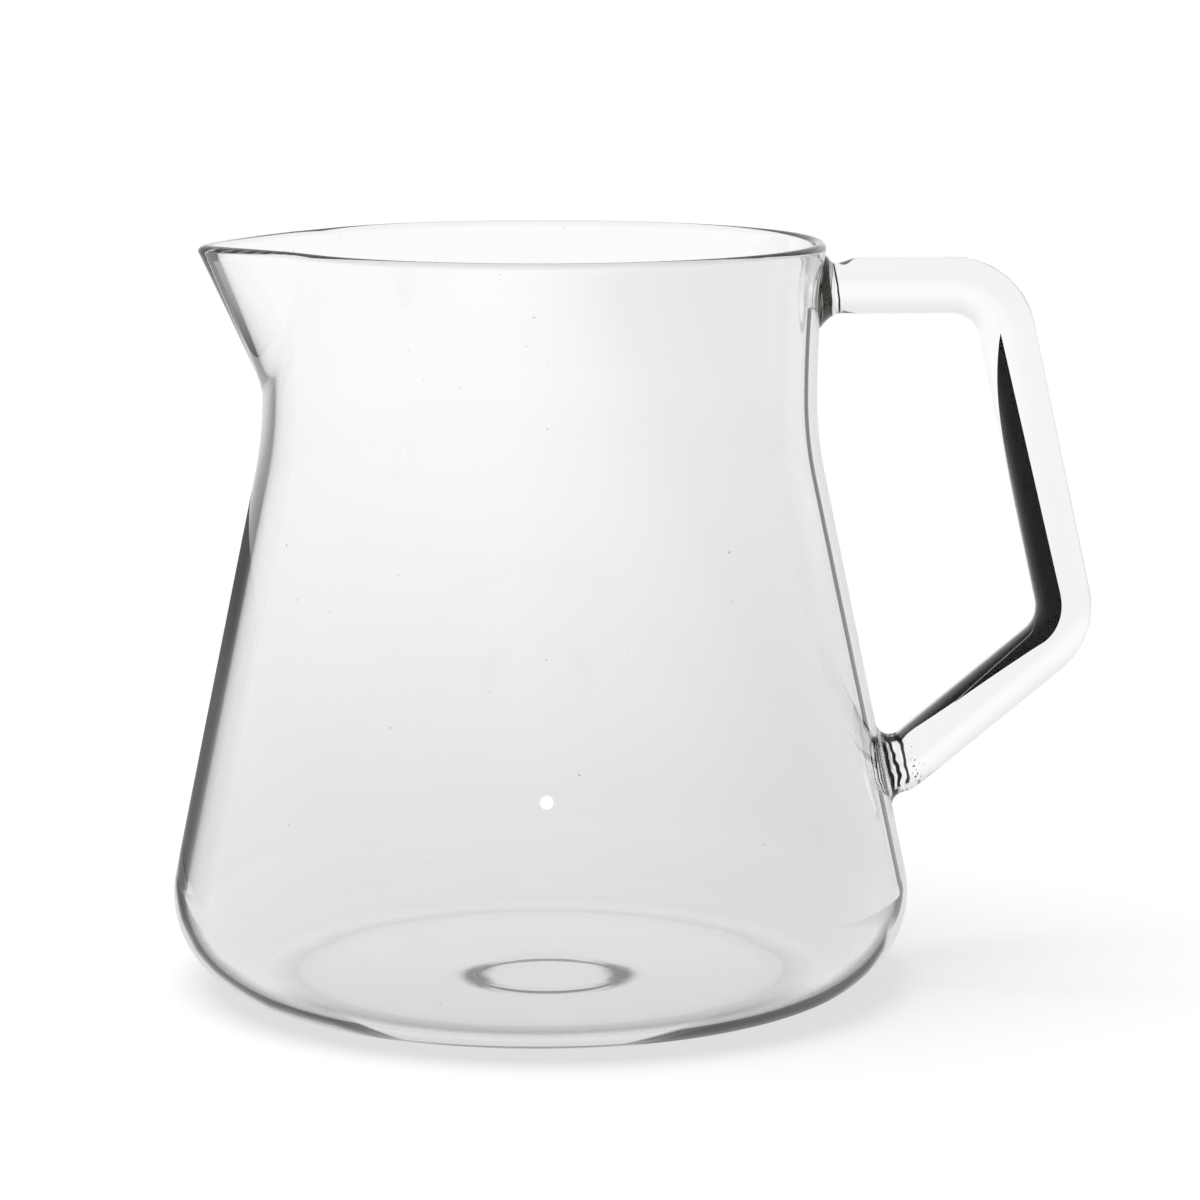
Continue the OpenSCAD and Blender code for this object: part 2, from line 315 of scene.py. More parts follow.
def vessel_tree(rows):
    tree, entry, size = new_tree("turned vessel with a drawn spout", VESSEL_SIZES)
    grid = tree.nodes.new("GeometryNodeMeshGrid")
    grid.inputs["Vertices X"].default_value = rows
    grid.inputs["Vertices Y"].default_value = COLUMNS + 1
    index = Field(tree, tree.nodes.new("GeometryNodeInputIndex").outputs[0])
    row = (index / (COLUMNS + 1.0) + ROW_NUDGE).math("FLOOR")
    column = index - row * (COLUMNS + 1.0)
    share = column * (2.0 / COLUMNS) - 1.0
    around = share.math("ABSOLUTE").math("POWER", CROWDING) * share.math("SIGN") * math.pi
    point = {}
    for title in POINT_VALUES:
        read = tree.nodes.new("GeometryNodeInputNamedAttribute")
        read.inputs["Name"].default_value = title
        look = tree.nodes.new("GeometryNodeSampleIndex")
        tree.links.new(entry.outputs["Geometry"], look.inputs["Geometry"])
        tree.links.new(read.outputs["Attribute"], look.inputs["Value"])
        tree.links.new(row.socket, look.inputs["Index"])
        point[title] = Field(tree, look.outputs[0])
    radius, level = spout_rule(tree, size, around, point)
    # Across the base the rings drift towards the mark, which is not quite in the middle
    drift = ((radius / size["Ring radius"]).squared() * -1.0 + 1.0).math("MAXIMUM", 0.0)
    drift = drift * level.math("LESS_THAN", BASE_T + HOLLOW_H * 2.0)
    place = tree.nodes.new("ShaderNodeCombineXYZ")
    feed(tree, place.inputs[0], size["Mark X"] * drift - radius * around.math("COSINE"))
    feed(tree, place.inputs[1], radius * around.math("SINE") - size["Mark Y"] * drift)
    feed(tree, place.inputs[2], level)
    move = tree.nodes.new("GeometryNodeSetPosition")
    tree.links.new(grid.outputs["Mesh"], move.inputs["Geometry"])
    tree.links.new(place.outputs[0], move.inputs["Position"])
    merge = tree.nodes.new("GeometryNodeMergeByDistance")
    merge.inputs["Distance"].default_value = SAME_POINT
    tree.links.new(move.outputs[0], merge.inputs["Geometry"])
    finish_tree(tree, entry, merge.outputs[0])
    return tree


# %% Running a tree and keeping its mesh
def link(piece):
    scene.collection.objects.link(piece)
    return piece


def grow(name, mesh, tree, material):
    """Runs the tree on the mesh and returns its result as a plain mesh object, faces outwards."""
    piece = link(bpy.data.objects.new(name, mesh))
    modifier = piece.modifiers.new("tree", "NODES")
    modifier.node_group = tree
    for socket in tree.interface.items_tree:
        if socket.in_out == "INPUT" and socket.name == "Material":
            modifier[socket.identifier] = material
    shown = piece.evaluated_get(bpy.context.evaluated_depsgraph_get())
    plain_mesh = bpy.data.meshes.new_from_object(shown)
    piece.modifiers.remove(modifier)
    piece.data = plain_mesh
    return faces_outwards(piece)


def faces_outwards(piece):
    """Turns all faces of a closed mesh outwards and prints what was made."""
    bm = bmesh.new()
    bm.from_mesh(piece.data)
    bmesh.ops.recalc_face_normals(bm, faces=bm.faces)
    volume = bm.calc_volume(signed=True)
    if volume < 0:
        bmesh.ops.reverse_faces(bm, faces=bm.faces)
    open_edges = sum(1 for e in bm.edges if not e.is_manifold)
    triangles = sum(len(f.verts) - 2 for f in bm.faces)
    for face in bm.faces:
        face.smooth = True
    bm.to_mesh(piece.data)
    bm.free()
    print(piece.name, ":", triangles, "triangles,", open_edges, "open edges,",
        round(abs(volume) / MM ** 3), "mm3")
    return piece


# %% [markdown]
# ## Borosilicate glass
#
# The glass is clear, with an index of 1.47. Through two thin walls it has hardly any colour,
# but light that runs along the wall crosses centimetres of glass and comes out a cool grey.
# An absorbing volume does this, and it needs closed meshes. Blown glass is never quite even,
# so a long soft wave and faint upright draw lines bend the light a little, smudges and fine
# dust dull the gloss, and a few dark specks lie in it.


# %% Helpers for materials
def noise_field(tree, vector, scale, detail=2.0, roughness=0.5):
    node = tree.nodes.new("ShaderNodeTexNoise")
    node.inputs["Scale"].default_value = scale
    node.inputs["Detail"].default_value = detail
    node.inputs["Roughness"].default_value = roughness
    tree.links.new(vector, node.inputs["Vector"])
    return Field(tree, node.outputs[0])


def mapped(tree, scale):
    """Object coordinates, stretched by the given scale."""
    place = tree.nodes.new("ShaderNodeTexCoord")
    mapping = tree.nodes.new("ShaderNodeMapping")
    mapping.inputs["Scale"].default_value = scale
    tree.links.new(place.outputs["Object"], mapping.inputs["Vector"])
    return mapping.outputs[0]


def coordinates(tree, vector):
    """The X, Y and Z of a vector, as fields."""
    split = tree.nodes.new("ShaderNodeSeparateXYZ")
    tree.links.new(vector, split.inputs[0])
    return [Field(tree, split.outputs[i]) for i in range(3)]


def from_axis(x, y):
    return (x.squared() + y.squared()).math("SQRT")


def ramp(tree, value, stops):
    """A colour ramp through (place, grey or colour) stops."""
    node = tree.nodes.new("ShaderNodeValToRGB")
    while len(node.color_ramp.elements) < len(stops):
        node.color_ramp.elements.new(0.5)
    for element, (place, tone) in zip(node.color_ramp.elements, stops):
        element.position = place
        colour = (tone,) * 3 if isinstance(tone, (int, float)) else tone
        element.color = (*colour, 1)
    feed(tree, node.inputs[0], value)
    return node.outputs[0]


def along(tree, value, stops):
    """A field that goes through the (place, strength) stops as the value grows."""
    return Field(tree, ramp(tree, value, stops))


def mixed(tree, factor, first, second, blend="MIX"):
    node = tree.nodes.new("ShaderNodeMix")
    node.data_type = "RGBA"
    node.blend_type = blend
    feed(tree, node.inputs[0], factor)
    tree.links.new(first, node.inputs[6])
    tree.links.new(second, node.inputs[7])
    return node.outputs[2]


# %% Glass
GLASS_IOR = 1.472
# How fine each pattern is, in repeats to the metre
SMUDGE_SCALE, DUST_SCALE, TINT_SCALE, SPECK_SCALE, WAVE_SCALE = 45.0, 900.0, 30.0, 1300.0, 38.0
# Draw lines are fine round the axis and long along it
LINE_SCALE = (210, 210, 9)
EVEN = (1, 1, 1)
SMUDGE_SHARE, DUST_SHARE = 0.85, 0.15
ROUGHNESS = [(0.0, 0.0), (0.62, 0.0), (0.8, 0.035)]
TINTS = [(0.3, (0.982, 0.986, 0.992)), (0.7, 1.0)]
SPECKS = [(0.075, 0.5), (0.1, 1.0)]


def glass(name, wave, streak, absorbed, density, mirror):
    """Clear glass. Wave and streak are the heights of its unevenness in metres, and mirror is
    how much of the room it mirrors when seen from the front."""
    material = bpy.data.materials.new(name)
    material.use_nodes = True
    tree = material.node_tree
    shader = tree.nodes["Principled BSDF"]
    shader.inputs["Transmission Weight"].default_value = 1.0
    shader.inputs["IOR"].default_value = GLASS_IOR
    shader.inputs["Specular Tint"].default_value = (mirror, mirror, mirror, 1)
    even = mapped(tree, EVEN)
    smudge = noise_field(tree, even, SMUDGE_SCALE, 3.0)
    dust = noise_field(tree, even, DUST_SCALE, 1.0)
    rough = ramp(tree, smudge * SMUDGE_SHARE + dust * DUST_SHARE, ROUGHNESS)
    tree.links.new(rough, shader.inputs["Roughness"])
    tint = ramp(tree, noise_field(tree, even, TINT_SCALE), TINTS)
    specks = ramp(tree, noise_field(tree, even, SPECK_SCALE, 0.0), SPECKS)
    tree.links.new(mixed(tree, 1.0, tint, specks, "MULTIPLY"), shader.inputs["Base Color"])
    waves = noise_field(tree, even, WAVE_SCALE, 1.0)
    lines = noise_field(tree, mapped(tree, LINE_SCALE), 1.0, 1.0)
    bump = tree.nodes.new("ShaderNodeBump")
    bump.inputs["Strength"].default_value = 1.0
    bump.inputs["Distance"].default_value = wave
    feed(tree, bump.inputs["Height"], waves + lines * (streak / wave))
    tree.links.new(bump.outputs[0], shader.inputs["Normal"])
    volume = tree.nodes.new("ShaderNodeVolumeAbsorption")
    volume.inputs["Color"].default_value = (*absorbed, 1)
    volume.inputs["Density"].default_value = density
    tree.links.new(volume.outputs[0], tree.nodes["Material Output"].inputs["Volume"])
    return material


vessel_glass = glass("blown borosilicate glass", wave=0.012 * MM, streak=0.0006 * MM,
    absorbed=(0.64, 0.7, 0.76), density=8.0, mirror=0.5)
rod_glass = glass("drawn rod glass", wave=0.006 * MM, streak=0.0004 * MM,
    absorbed=(0.64, 0.71, 0.72), density=8.0, mirror=0.3)
print("glasses:", vessel_glass.name, "and", rod_glass.name, "with an index of", GLASS_IOR)

# %% [markdown]
# The round mark under the base is not quite clear: its ridge looks dark, most of all at the two ends
# that the light misses. A dark tone painted into the glass's colour there is painted shade.

# %% The mark's painted shade
# In mm: how ragged the painted shade's edge is, its width all round, and how much wider its ends are
MARK_SHADE_RAGGED, MARK_SHADE_W, MARK_SHADE_END_W = 1.6, 0.5, 1.1
MARK_SHADE_SCALE, MARK_SHADE_TOP = 320.0, 4 * MM
MARK_SHADE_UNEVEN, MARK_SHADE_MIDDLE = 1.5, 0.95
MARK_SHADE_TONES = [(0.0, 1.0), (0.45, (0.3, 0.3, 0.31)), (0.8, (0.03, 0.03, 0.031))]


def paint_mark_shade(material):
    tree = material.node_tree
    shader = tree.nodes["Principled BSDF"]
    clear = shader.inputs["Base Color"].links[0].from_socket
    even = mapped(tree, EVEN)
    x, y, z = coordinates(tree, even)
    x, y = x - MARK_X, y + MARK_Y
    far = from_axis(x, y)
    uneven = noise_field(tree, even, MARK_SHADE_SCALE, 2.0) - 0.5
    ends = (x / far).squared()
    width = ends.squared() * MARK_SHADE_END_W * MM + MARK_SHADE_W * MM
    away = ((far - MARK_D / 2 + uneven * MARK_SHADE_RAGGED * MM) / width).squared()
    low = z.math("LESS_THAN", MARK_SHADE_TOP)
    strength = uneven * MARK_SHADE_UNEVEN + MARK_SHADE_MIDDLE
    # The dark tone is painted shade along the ridge, strongest at its two ends
    mark_shade = (away * -1.0).math("EXPONENT") * ends.squared() * low * strength
    dark = ramp(tree, mark_shade, MARK_SHADE_TONES)
    tree.links.new(mixed(tree, 1.0, dark, clear, "MULTIPLY"), shader.inputs["Base Color"])


paint_mark_shade(vessel_glass)
print("painted shade on the ring of", round(MARK_D / MM), "mm under the base")

# %% [markdown]
# Where the rod was melted on, the glass flowed in folds. They gather the dark of the room into
# upright streaks, black and olive, with bright glass between, and here these reflections are painted
# into the glass's colour. The handle's mesh tells the glass how far each point lies from the wall, in
# weld depths.

# %% Where the streaks lie
# A surface lets through the square root of its colour, so a streak that looks dark grey is
# near black here
# Olive and black are painted reflections of the dark room, not a colour of the glass itself
OLIVE, REFLECTED_BLACK = (0.006, 0.0068, 0.003), (0.0002, 0.0002, 0.0002)
# Places are distances from the wall, counted in this many weld depths
STREAK_UNIT = 2.0
UPPER_STREAKS = [(0.0, REFLECTED_BLACK), (0.015, REFLECTED_BLACK), (0.022, 1.0), (0.045, 1.0), (0.052, OLIVE),
    (0.205, OLIVE), (0.215, 1.0), (0.31, 1.0), (0.32, REFLECTED_BLACK), (0.35, REFLECTED_BLACK), (0.36, 1.0)]
LOWER_STREAKS = [(0.222, 1.0), (0.235, REFLECTED_BLACK), (0.3, REFLECTED_BLACK), (0.312, 1.0), (0.345, 1.0),
    (0.357, REFLECTED_BLACK), (0.4, REFLECTED_BLACK), (0.412, 1.0), (0.47, 1.0), (0.485, REFLECTED_BLACK), (0.56, OLIVE),
    (0.575, 1.0)]
CROWN = [(0.27, 1.0), (0.29, REFLECTED_BLACK), (0.38, OLIVE), (0.46, REFLECTED_BLACK), (0.53, REFLECTED_BLACK), (0.58, 1.0)]
TOE = [(0.12, 1.0), (0.14, OLIVE), (0.27, REFLECTED_BLACK), (0.36, OLIVE), (0.38, 1.0)]
# How high on the lower weld the crown begins, and how low the toe, with 1 at the ring's end
CROWN_EDGE, TOE_EDGE = [(0.8, 0.0), (0.88, 1.0)], [(0.62, 0.0), (0.7, 1.0)]
# How much the folds push each of them about
UPPER_FOLD, LOWER_FOLD, TOE_FOLD, CROWN_EDGE_FOLD, TOE_EDGE_FOLD = 0.12, 0.45, 0.9, 0.9, 0.5
FOLD_SCALE, GRAIN_SCALE, UPPER_LEAN = 260.0, 1900.0, 0.15
# Dark crumbs lie thickest at this many weld depths, and get fewer to both sides and upwards
CRUMB_PLACE, CRUMB_FALL, CRUMB_RISE = 1.55, 0.25, 0.1
CRUMBS = [(0.34, (0.01, 0.01, 0.008)), (0.38, 1.0)]
# On the far side, at 0, the streaks are faint, and towards the outline, at a half, they fade
SEEN = [(0.3, 0.12), (0.56, 0.25), (0.66, 1.0)]


# %% Painted reflections in the welds
def read_place(tree, title):
    node = tree.nodes.new("ShaderNodeAttribute")
    node.attribute_name = title
    return Field(tree, node.outputs["Fac"])


def paint_weld_reflections(material):
    """Paints reflections of the dark room into the glass as streaks at given distances from the wall,
    most on the dot's side.
    """
    tree = material.node_tree
    shader = tree.nodes["Principled BSDF"]
    clear = shader.inputs["Base Color"].links[0].from_socket
    top, foot_place = read_place(tree, "upper_place"), read_place(tree, "lower_place")
    height, side = read_place(tree, "ring_height"), read_place(tree, "ring_side")
    even = mapped(tree, EVEN)
    folds = noise_field(tree, even, FOLD_SCALE, 2.0) - 0.5
    grain = noise_field(tree, even, GRAIN_SCALE, 2.0)
    leaning = top + height * UPPER_LEAN + folds * UPPER_FOLD
    upper = ramp(tree, leaning / STREAK_UNIT, UPPER_STREAKS)
    lower = ramp(tree, (foot_place + folds * LOWER_FOLD) / STREAK_UNIT, LOWER_STREAKS)
    # At its very top and bottom the lower weld gathers the dark in one patch
    crown = along(tree, height + folds * CROWN_EDGE_FOLD, CROWN_EDGE)
    toe = along(tree, height * -1.0 + folds * TOE_EDGE_FOLD, TOE_EDGE)
    patch = mixed(tree, crown, lower, ramp(tree, foot_place / STREAK_UNIT, CROWN))
    toe_streaks = ramp(tree, (foot_place + folds * TOE_FOLD) / STREAK_UNIT, TOE)
    patch = mixed(tree, toe, patch, toe_streaks)
    thin_out = (foot_place - CRUMB_PLACE).math("ABSOLUTE") * CRUMB_FALL
    crumbs = ramp(tree, grain + thin_out + height * CRUMB_RISE, CRUMBS)
    streaks = mixed(tree, 1.0, mixed(tree, 1.0, upper, patch, "MULTIPLY"), crumbs, "MULTIPLY")
    white = tree.nodes.new("ShaderNodeRGB")
    white.outputs[0].default_value = (1, 1, 1, 1)
    faded = mixed(tree, along(tree, side * -0.5 + 0.5, SEEN), white.outputs[0], streaks)
    tree.links.new(mixed(tree, 1.0, faded, clear, "MULTIPLY"), shader.inputs["Base Color"])


paint_weld_reflections(rod_glass)
print("stops of the streaks:", len(UPPER_STREAKS), "above and", len(LOWER_STREAKS), "below")

# %% [markdown]
# The profile goes into the tree as a mesh of points in a row, each with its five values. The
# finished mesh takes the place of the vessel's CAD solid.

# %% Blowing the vessel
profile_mesh = bpy.data.meshes.new("vessel profile")
profile_mesh.from_pydata([(p["outer"], 0, p["height"]) for p in profile],
    [(i, i + 1) for i in range(len(profile) - 1)], [])
for title in POINT_VALUES:
    attribute = profile_mesh.attributes.new(title, "FLOAT", "POINT")
    attribute.data.foreach_set("value", [p[title] for p in profile])
vessel = grow("blown_vessel", profile_mesh, vessel_tree(len(profile)), vessel_glass)
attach(vessel, "root")
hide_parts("vessel")

# %% [markdown]
# ## The handle
#
# The handle is one rod of glass, bent twice over a flame. Its ends were melted onto the wall,
# and there the glass flows out into a foot and leaves a slight waist where the flame was
# hottest. A sweep along the rod's centre line makes it: each ring is an ellipse with its own
# centre and lean, and the last ring at each end follows the curve of the wall, just inside it.

# %% The handle's centre line
# How far the rod's ends go into the wall, so that no gap shows
LAP = 0.4 * MM
arm_z = BODY_H - ARM_DROP
grip_lean = math.atan2(ELBOW_X - CORNER_X, arm_z - ELBOW_Z)
corner_turn = quarter - grip_lean
elbow_turn = math.pi - ARM_RISE - corner_turn
corner_cut = BEND_R * math.tan(corner_turn / 2)
elbow_cut = BEND_R * math.tan(elbow_turn / 2)
low_arm_len = ((ELBOW_X * math.cos(wall_lean) + ELBOW_Z * math.sin(wall_lean) - wall_dist)
    / math.cos(ARM_RISE - wall_lean))
foot = Vector((ELBOW_X - low_arm_len * math.cos(ARM_RISE), 0,
    ELBOW_Z - low_arm_len * math.sin(ARM_RISE)))
low_lean = ARM_RISE - wall_lean
wall_x = side_r(arm_z)
print("foot of the lower arm in mm:", [round(v / MM, 1) for v in foot])


# %% Rings of the sweep
RING_POINTS = 64


def ring(centre, up, above, below, side):
    """An ellipse of points whose upper and lower halves may differ in height."""
    points = []
    for i in range(RING_POINTS):
        a = math.tau * i / RING_POINTS
        rise = (above if math.sin(a) > 0 else below) * math.sin(a)
        points.append(centre + up * rise + Vector((0, side * math.cos(a), 0)))
    return points


def on_wall(point, inwards):
    """The same point moved along X until it lies on the vessel's outside, or so far inside it."""
    r = outer_r(point.z) - inwards
    return Vector((math.sqrt(r * r - point.y ** 2), point.y, point.z))


WELD_STEPS, BEND_STEPS, ARM_STEPS = 36, 20, 12
# In weld depths from the wall: how far the rings of each weld reach, and over how many of them
# the lower ones lean
UPPER_REACH, LOWER_REACH, LEAN_REACH = 2, 5, 3
upper_distances = steps(0, UPPER_REACH, WELD_STEPS * 2)
lower_distances = steps(LOWER_REACH, 0, WELD_STEPS * 4)
WAIST = 0.95 * MM
WAIST_PLACE, WAIST_SPREADS = 0.55, (0.3, 0.65)
# The flame came from one side, so the waist isn't as deep all round
UPPER_WAIST = {"above": 1.0, "below": 0.1, "side": 0.4}
LOWER_WAIST = {"above": 0.1, "below": 0.5, "side": 0.4}


def waist(t, share):
    """How much the flame drew the rod in, at the distance t from the wall in weld depths."""
    away = (t - WAIST_PLACE) / WAIST_SPREADS[t > WAIST_PLACE]
    return share * WAIST * math.exp(-away * away)


def upper_rings():
    rings = []
    weld, up = UPPER_WELD, Vector((0, 0, 1))
    for t in upper_distances:
        grow_out = max(0, 1 - t) ** WELD_HOLLOW
        flat = ring(Vector((wall_x + t * weld["depth"], 0, arm_z)), up,
            rod_r - waist(t, UPPER_WAIST["above"]) + weld["above"] * grow_out,
            rod_r - waist(t, UPPER_WAIST["below"]) + weld["below"] * grow_out,
            rod_r - waist(t, UPPER_WAIST["side"]) + weld["side"] * grow_out)
        follow = max(0, 1 - t)
        rings.append([p + (on_wall(p, LAP) - Vector((wall_x, p.y, p.z))) * follow for p in flat])
    return rings


def turned(angle):
    """Unit vectors along the rod and across it, once it has turned down by the angle from +X."""
    forward = Vector((math.cos(angle), 0, -math.sin(angle)))
    return forward, Vector((math.sin(angle), 0, math.cos(angle)))


def bend_rings(start, before, turn):
    """Rings round a bend, and the point where it ends."""
    centre = start - turned(before)[1] * BEND_R
    rings = []
    for t in steps(0, turn, BEND_STEPS):
        _, out = turned(before + t)
        rings.append(ring(centre + out * BEND_R, out, rod_r, rod_r, rod_r))
    return rings, centre + turned(before + turn)[1] * BEND_R


def run_rings(start, angle, length, n):
    """Rings along a straight piece of the rod, without its two ends."""
    forward, up = turned(angle)
    return [ring(start + forward * d, up, rod_r, rod_r, rod_r) for d in steps(0, length, n)[1:-1]]


def lower_rings():
    """From the rod to the wall, the rings lean over until they lie along the wall. Here up points
    down, so that the sweep keeps its sense all the way round the handle."""
    rings = []
    weld = LOWER_WELD
    normal = Vector((math.cos(wall_lean), 0, math.sin(wall_lean)))
    wall_up = Vector((-math.sin(wall_lean), 0, math.cos(wall_lean)))
    rod_up = Vector((-math.sin(ARM_RISE), 0, math.cos(ARM_RISE)))
    for t in lower_distances:
        distance = t * weld["depth"]
        centre = foot + normal * distance + wall_up * distance * math.tan(low_lean)
        share = min(1, max(0, (LOWER_REACH - t) / LEAN_REACH))
        lean = low_lean * share
        up = (rod_up * math.sin(low_lean - lean) + wall_up * math.sin(lean)) / -math.sin(low_lean)
        grow_out = max(0, 1 - t) ** WELD_HOLLOW
        flat = ring(centre, up,
            (rod_r - waist(t, LOWER_WAIST["below"])) / math.cos(lean) + weld["below"] * grow_out,
            (rod_r - waist(t, LOWER_WAIST["above"])) / math.cos(lean) + weld["above"] * grow_out,
            rod_r - waist(t, LOWER_WAIST["side"]) + weld["side"] * grow_out)
        follow = max(0, 1 - t)
        rings.append([p + (on_wall(p, LAP) - p) * follow for p in flat])
    return rings


# %% [markdown]
# The rings are joined into one closed skin, from the wall round the handle and back to the
# wall. One skin has no seam between rod and welds, as the melted glass has none.

# %% Sweeping the handle
CAP_SHARES = (0.75, 0.5, 0.25)


def cap_rings(last, centre):
    """Smaller and smaller rings that close an end along the curve of the wall."""
    return [[on_wall(centre + (p - centre) * share, LAP) for p in last] for share in CAP_SHARES]


def sweep(name, rings, places, first_point, last_point, material):
    """A closed skin over the rings. Each point keeps its ring's places in the two welds, and how
    high and on which side of the rod it lies, for the glass to read."""
    bm = bmesh.new()
    rows = [[bm.verts.new(p) for p in points] for points in rings]
    for row, after in zip(rows, rows[1:]):
        for i in range(RING_POINTS):
            j = (i + 1) % RING_POINTS
            bm.faces.new((row[i], row[j], after[j], after[i]))
    for row, point in ((rows[0], first_point), (rows[-1], last_point)):
        tip = bm.verts.new(point)
        for i in range(RING_POINTS):
            bm.faces.new((row[i], row[(i + 1) % RING_POINTS], tip))
    mesh = bpy.data.meshes.new(name)
    bm.to_mesh(mesh)
    bm.free()
    angles = [math.tau * i / RING_POINTS for i in range(RING_POINTS)]
    # The points of the rings come first, and after them the two points that close the ends
    values = {}
    for title in ("upper_place", "lower_place"):
        values[title] = ([row[title] for row in places for _ in angles]
            + [places[0][title], places[-1][title]])
    values["ring_height"] = [row["up"] * math.sin(a) for row in places for a in angles] + [0.0, 0.0]
    values["ring_side"] = [math.cos(a) for _ in places for a in angles] + [0.0, 0.0]
    for title, numbers in values.items():
        mesh.attributes.new(title, "FLOAT", "POINT").data.foreach_set("value", numbers)
    mesh.materials.append(material)
    return faces_outwards(link(bpy.data.objects.new(name, mesh)))


upper = upper_rings()
corner_start = Vector((CORNER_X - corner_cut, 0, arm_z))
arm_start = Vector((wall_x + UPPER_REACH * UPPER_WELD["depth"], 0, arm_z))
corner, corner_end = bend_rings(corner_start, 0, corner_turn)
grip_len = math.hypot(ELBOW_X - CORNER_X, arm_z - ELBOW_Z) - corner_cut - elbow_cut
elbow_start = corner_end + turned(corner_turn)[0] * grip_len
elbow, elbow_end = bend_rings(elbow_start, corner_turn, elbow_turn)
lower = lower_rings()
low_run = (elbow_end - foot).length - LOWER_REACH * LOWER_WELD["depth"] / math.cos(low_lean)
top_point = on_wall(Vector((wall_x, 0, arm_z)), LAP)
foot_point = on_wall(foot, LAP)
top_cap = list(reversed(cap_rings(upper[0], top_point)))
foot_cap = cap_rings(lower[-1], foot_point)
middle = (run_rings(arm_start, 0, (corner_start - arm_start).length, ARM_STEPS) + corner
    + run_rings(corner_end, corner_turn, grip_len, ARM_STEPS * 3) + elbow
    + run_rings(elbow_end, corner_turn + elbow_turn, low_run, ARM_STEPS))
# A place far from a weld, past all its streaks
FAR = 9.0
places = ([{"upper_place": t, "lower_place": FAR, "up": 1.0}
        for t in [0.0] * len(top_cap) + upper_distances]
    + [{"upper_place": FAR, "lower_place": FAR, "up": 1.0}] * len(middle)
    + [{"upper_place": FAR, "lower_place": t, "up": -1.0}
        for t in lower_distances + [0.0] * len(foot_cap)])
handle = sweep("bent_handle", top_cap + upper + middle + lower + foot_cap, places,
    top_point, foot_point, rod_glass)
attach(handle, "root")
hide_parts("handle_rod", "upper_weld", "lower_weld")

# %% [markdown]
# ## The fill dot
#
# A dot of white enamel is printed on the glass and fired. The CAD solid already has its
# shape, so it only needs its finish: white, smooth, and very slightly uneven as fired ink is.

# %% Enamel
INK_SCALE, INK_BUMP = 2500.0, 0.01 * MM
INK_TONES, INK_ROUGHNESS = [(0.3, 0.9), (0.7, 0.96)], [(0.3, 0.25), (0.7, 0.4)]


def enamel():
    material = bpy.data.materials.new("fired white enamel")
    material.use_nodes = True
    tree = material.node_tree
    shader = tree.nodes["Principled BSDF"]
    grain = noise_field(tree, mapped(tree, EVEN), INK_SCALE, 3.0)
    tree.links.new(ramp(tree, grain, INK_TONES), shader.inputs["Base Color"])
    tree.links.new(ramp(tree, grain, INK_ROUGHNESS), shader.inputs["Roughness"])
    bump = tree.nodes.new("ShaderNodeBump")
    bump.inputs["Distance"].default_value = INK_BUMP
    feed(tree, bump.inputs["Height"], grain)
    tree.links.new(bump.outputs[0], shader.inputs["Normal"])
    return material


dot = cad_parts["fill_dot"]
dot.data.materials.clear()
dot.data.materials.append(enamel())
print("the dot's finish:", dot.data.materials[0].name)

# %% [markdown]
# ## The studio
#
# The floor is a wide pale sheet, which the camera sees lit and white. The glass sees a glowing sheet
# in its place, with painted shade: a little greyer close to the object, a painted contact shadow
# round the foot, and darker on the handle's side.

# %% What a ray has met
# A count of crossings or mirrorings is over NEVER from one on, and over TWICE from three on
NEVER, TWICE = 0.5, 2.5
# Share left of light that was mirrored three times or more inside the glass
KEPT = 0.3


def light_path(tree, title):
    path = next((n for n in tree.nodes if n.bl_idname == "ShaderNodeLightPath"), None)
    path = path or tree.nodes.new("ShaderNodeLightPath")
    return Field(tree, path.outputs[title])


def bent_rays(tree):
    """1 for rays that passed through glass or were mirrored last, and 0 for all others."""
    return light_path(tree, "Is Transmission Ray").math("MAXIMUM", light_path(tree, "Is Glossy Ray"))


def kept_light(tree):
    """The share of its light that a ray keeps after many mirrorings."""
    return light_path(tree, "Glossy Depth").math("GREATER_THAN", TWICE) * (KEPT - 1.0) + 1.0


# %% Floor
FLOOR_HALF = 9.0
FLOOR_WHITE = 0.73
# The glowing sheet's painted shade by its distance from the axis in metres, darker close to the
# object: through two walls, with a painted contact shadow at the foot, through one piece of glass,
# and mirrored inside the heel
DEEP_PAINTED_SHADE = [(0.0, 0.6), (0.033, 0.63), (0.0355, 0.55), (0.037, 0.59), (0.039, 0.71),
    (0.05, 0.75), (0.125, 0.79), (0.22, 0.85), (0.34, 0.9), (0.5, 0.95), (0.75, 1.0)]
THIN_PAINTED_SHADE = [(0.05, 0.93), (0.3, 0.92), (0.45, 0.93), (0.9, 0.98)]
HEEL_PAINTED_SHADE = [(0.0, 0.75), (0.04, 0.8), (0.12, 0.86), (0.2, 0.93)]
# Through two walls the sheet also has painted shade on the handle's side
SIDE_PAINTED_SHADE = [(0.0, 1.0), (0.03, 0.95), (0.06, 0.86), (0.12, 0.8)]
mesh = bpy.data.meshes.new("floor")
mesh.from_pydata([(-FLOOR_HALF, -FLOOR_HALF, 0), (FLOOR_HALF, -FLOOR_HALF, 0),
    (FLOOR_HALF, FLOOR_HALF, 0), (-FLOOR_HALF, FLOOR_HALF, 0)], [], [(0, 1, 2, 3)])
floor = link(bpy.data.objects.new("studio_floor", mesh))
material = bpy.data.materials.new("pale floor")
material.use_nodes = True
tree = material.node_tree
shader = tree.nodes["Principled BSDF"]
shader.inputs["Base Color"].default_value = (FLOOR_WHITE,) * 3 + (1,)
shader.inputs["Roughness"].default_value = 1.0
shader.inputs["Specular IOR Level"].default_value = 0.0
